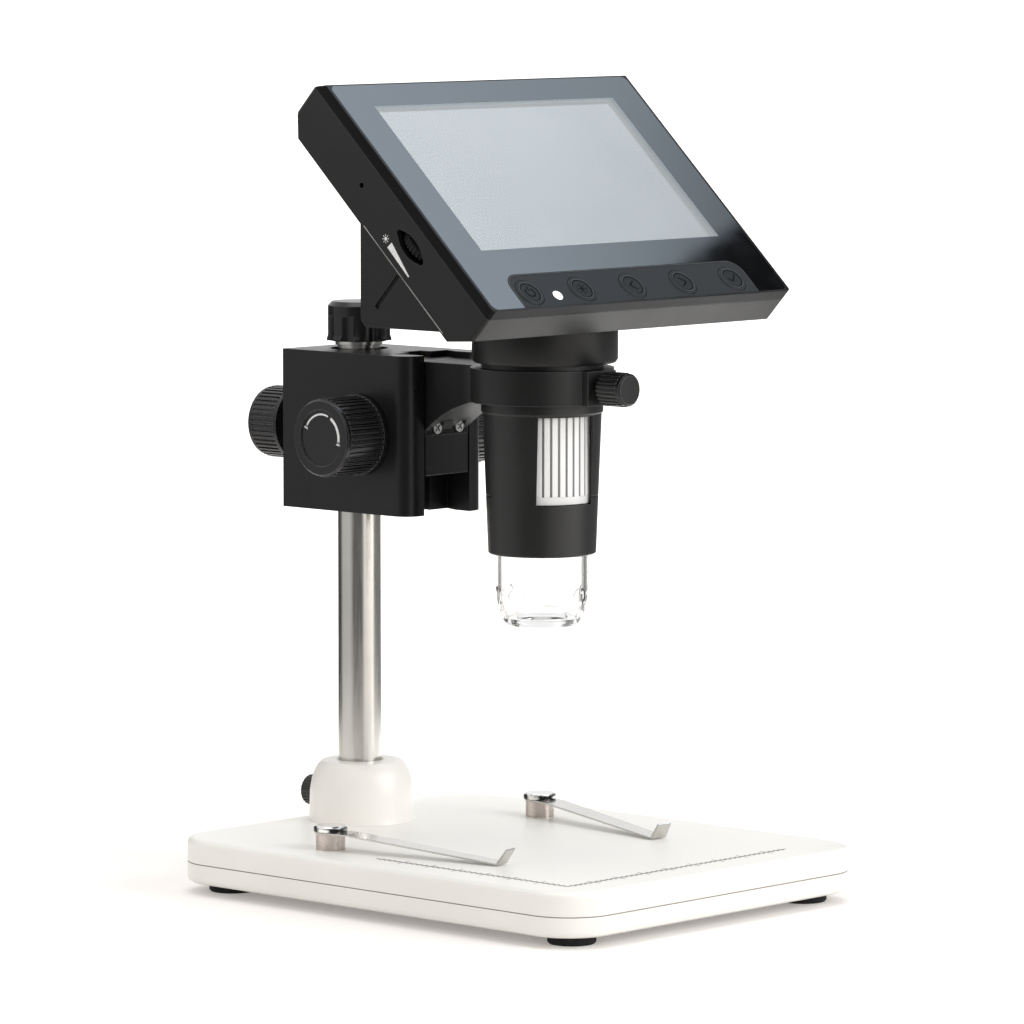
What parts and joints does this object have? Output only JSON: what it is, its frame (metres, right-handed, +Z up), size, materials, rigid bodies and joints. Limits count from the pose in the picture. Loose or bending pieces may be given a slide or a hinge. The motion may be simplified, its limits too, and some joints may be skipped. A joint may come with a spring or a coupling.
{
  "type": "lcd digital microscope",
  "caption": "Desk microscope with a tilted display head over a lamp-lit barrel, held by a rack-and-pinion carriage on a column with a weighted clip stage.",
  "frame": {"origin": "on the table, under the middle of the bounding box", "axes": "+X to the right of a user who faces the display, +Y to the back, +Z up"},
  "size_m": [0.1206, 0.1706, 0.2239],
  "materials": {
    "white_plastic": "satin moulded",
    "socket_plastic": "satin moulded",
    "weight_steel": "zinc plated",
    "rubber_black": "matte",
    "screw_steel": "plated",
    "knob_black": "matte moulded",
    "post_white": "satin",
    "clip_chrome": "polished",
    "clip_steel": "spring steel, satin",
    "column_steel": "brightly plated tube",
    "block_black": "fine satin black",
    "bush_plastic": "acetal",
    "brass": "machined",
    "shaft_steel": "ground",
    "arm_black": "satin moulded",
    "barrel_black": "soft satin",
    "wheel_silver": "metallised silver",
    "carrier_black": "matte",
    "lens_glass": "coated",
    "lamp_clear": "clear epoxy",
    "nose_clear": "clear moulded acrylic",
    "board_white": "solder mask",
    "board_green": "solder mask",
    "shell_black": "fine spark texture",
    "bezel_black": "semi-gloss",
    "screen_glass": "gloss, printed black border",
    "panel_metal": "pressed frame",
    "panel_cell": "anti-glare film",
    "keypad_grey": "printed polycarbonate film",
    "key_grey": "satin",
    "cell_wrap": "shrink wrap",
    "dial_grey": "matte",
    "port_metal": "tin plated"
  },
  "bodies": {
    "stand": {"base_top_cover": "white_plastic", "base_bottom_cover": "white_plastic", "base_weight": "weight_steel", "rubber_feet": "rubber_black", "base_screws": "screw_steel", "column_socket": "socket_plastic", "clip_posts": "post_white", "clip_caps": "clip_chrome"},
    "socket_lock": {"socket_lock_stud": "shaft_steel", "socket_lock_knob": "knob_black"},
    "clip_left": {"clip_blade_left": "clip_steel"},
    "clip_right": {"clip_blade_right": "clip_steel"},
    "column_unit": {"column": "column_steel", "column_collar": "column_steel", "column_cap": "knob_black"},
    "bush": {"column_bush": "bush_plastic"},
    "carriage": {"carriage_block": "block_black", "clamp_shoe": "brass"},
    "clamp": {"clamp_stud": "shaft_steel", "clamp_knob": "knob_black"},
    "pinion": {"pinion_shaft": "shaft_steel", "pinion_gear": "brass", "focus_knob_left": "knob_black", "focus_knob_right": "knob_black"},
    "slider": {"focus_slider": "block_black", "rack": "brass", "scope_arm": "arm_black", "arm_screws": "screw_steel"},
    "ring_lock": {"ring_lock_stud": "brass", "ring_lock_knob": "knob_black"},
    "scope": {"barrel_housing": "barrel_black", "lamp_board": "board_white", "lamps": "lamp_clear", "sensor_board": "board_green", "neck_collar": "shell_black", "rear_shell": "shell_black", "front_bezel": "bezel_black", "screen_glass": "screen_glass", "lcd_module": "panel_metal", "lcd_cell": "panel_cell", "keypad_panel": "keypad_grey", "key_board": "board_green", "status_lamp": "lamp_clear", "main_board": "board_green", "battery_cell": "cell_wrap", "reset_switch": "carrier_black", "usb_socket": "port_metal", "card_socket": "port_metal", "shell_screws": "screw_steel"},
    "wheel": {"focus_wheel": "wheel_silver"},
    "lens": {"lens_carrier": "carrier_black", "objective_lens": "lens_glass"},
    "nose": {"nose_cap": "nose_clear"},
    "power_key": {"key_power": "key_grey"},
    "lamp_key": {"key_lamp": "key_grey"},
    "left_key": {"key_left": "key_grey"},
    "right_key": {"key_right": "key_grey"},
    "ok_key": {"key_ok": "key_grey"},
    "reset": {"reset_button": "dial_grey"},
    "dial": {"lamp_dial": "dial_grey"}
  },
  "joints": [
    {"name": "column_lift", "type": "slide", "parent": "stand", "child": "column_unit", "axis": [0, 0, 1], "range_m": [0, 0.02]},
    {"name": "socket_lock_turn", "type": "hinge", "parent": "stand", "child": "socket_lock", "pos_m": [0, 0.06765, 0.0217], "axis": [0, 1, 0], "range_deg": [-180, 180]},
    {"name": "clip_left_turn", "type": "hinge", "parent": "stand", "child": "clip_left", "pos_m": [-0.0459, 0.01715, 0.02], "axis": [0, 0, 1], "range_deg": [-22, 28]},
    {"name": "clip_right_turn", "type": "hinge", "parent": "stand", "child": "clip_right", "pos_m": [0.0383, 0.01715, 0.02], "axis": [0, 0, 1], "range_deg": [-28, 22]},
    {"name": "carriage_height", "type": "slide", "parent": "column_unit", "child": "bush", "axis": [0, 0, 1], "range_m": [-0.028, 0.0008]},
    {"name": "carriage_swivel", "type": "hinge", "parent": "bush", "child": "carriage", "pos_m": [0, 0.05065, 0.1258], "axis": [0, 0, 1], "continuous": true},
    {"name": "clamp_turn", "type": "hinge", "parent": "carriage", "child": "clamp", "pos_m": [0, 0.08, 0.1258], "axis": [0, 1, 0], "range_deg": [-180, 180]},
    {"name": "focus_slide", "type": "slide", "parent": "carriage", "child": "slider", "axis": [0, 0, 1], "range_m": [-0.01, 0.01]},
    {"name": "focus_turn", "type": "hinge", "parent": "carriage", "child": "pinion", "pos_m": [0, 0.03495, 0.1258], "axis": [1, 0, 0], "range_deg": [-113, 113]},
    {"name": "ring_lock_turn", "type": "hinge", "parent": "slider", "child": "ring_lock", "pos_m": [0, -0.04395, 0.1418], "axis": [0, -1, 0], "range_deg": [-180, 180]},
    {"name": "scope_turn", "type": "hinge", "parent": "slider", "child": "scope", "pos_m": [0, -0.01895, 0.1418], "axis": [0, 0, 1], "range_deg": [-45, 45]},
    {"name": "wheel_turn", "type": "hinge", "parent": "scope", "child": "wheel", "pos_m": [0, -0.01895, 0.121], "axis": [0, 0, 1], "range_deg": [0, 270]},
    {"name": "lens_slide", "type": "slide", "parent": "scope", "child": "lens", "axis": [0, 0, 1], "range_m": [-0.00003, 0.00303]},
    {"name": "nose_cap_off", "type": "slide", "parent": "scope", "child": "nose", "axis": [0, 0, 1], "range_m": [-0.009, 0]},
    {"name": "power_key_press", "type": "slide", "parent": "scope", "child": "power_key", "axis": [0, 0.6871, -0.7266], "range_m": [0, 0.0005], "stiffness_N_per_m": 400, "springref_m": -0.0003},
    {"name": "lamp_key_press", "type": "slide", "parent": "scope", "child": "lamp_key", "axis": [0, 0.6871, -0.7266], "range_m": [0, 0.0005], "stiffness_N_per_m": 400, "springref_m": -0.0003},
    {"name": "left_key_press", "type": "slide", "parent": "scope", "child": "left_key", "axis": [0, 0.6871, -0.7266], "range_m": [0, 0.0005], "stiffness_N_per_m": 400, "springref_m": -0.0003},
    {"name": "right_key_press", "type": "slide", "parent": "scope", "child": "right_key", "axis": [0, 0.6871, -0.7266], "range_m": [0, 0.0005], "stiffness_N_per_m": 400, "springref_m": -0.0003},
    {"name": "ok_key_press", "type": "slide", "parent": "scope", "child": "ok_key", "axis": [0, 0.6871, -0.7266], "range_m": [0, 0.0005], "stiffness_N_per_m": 400, "springref_m": -0.0003},
    {"name": "reset_press", "type": "slide", "parent": "scope", "child": "reset", "axis": [1, 0, 0], "range_m": [0, 0.0003], "stiffness_N_per_m": 300, "springref_m": -0.0003},
    {"name": "lamp_dial_turn", "type": "hinge", "parent": "scope", "child": "dial", "pos_m": [-0.05145, -0.02659, 0.1818], "axis": [0, -0.6871, 0.7266], "range_deg": [-135, 135]}
  ],
  "couplings": [
    {"joint": "focus_turn", "follows": "focus_slide", "rad_per_m": -196.08},
    {"joint": "lens_slide", "follows": "wheel_turn", "m_per_rad": 0.00063662}
  ]
}
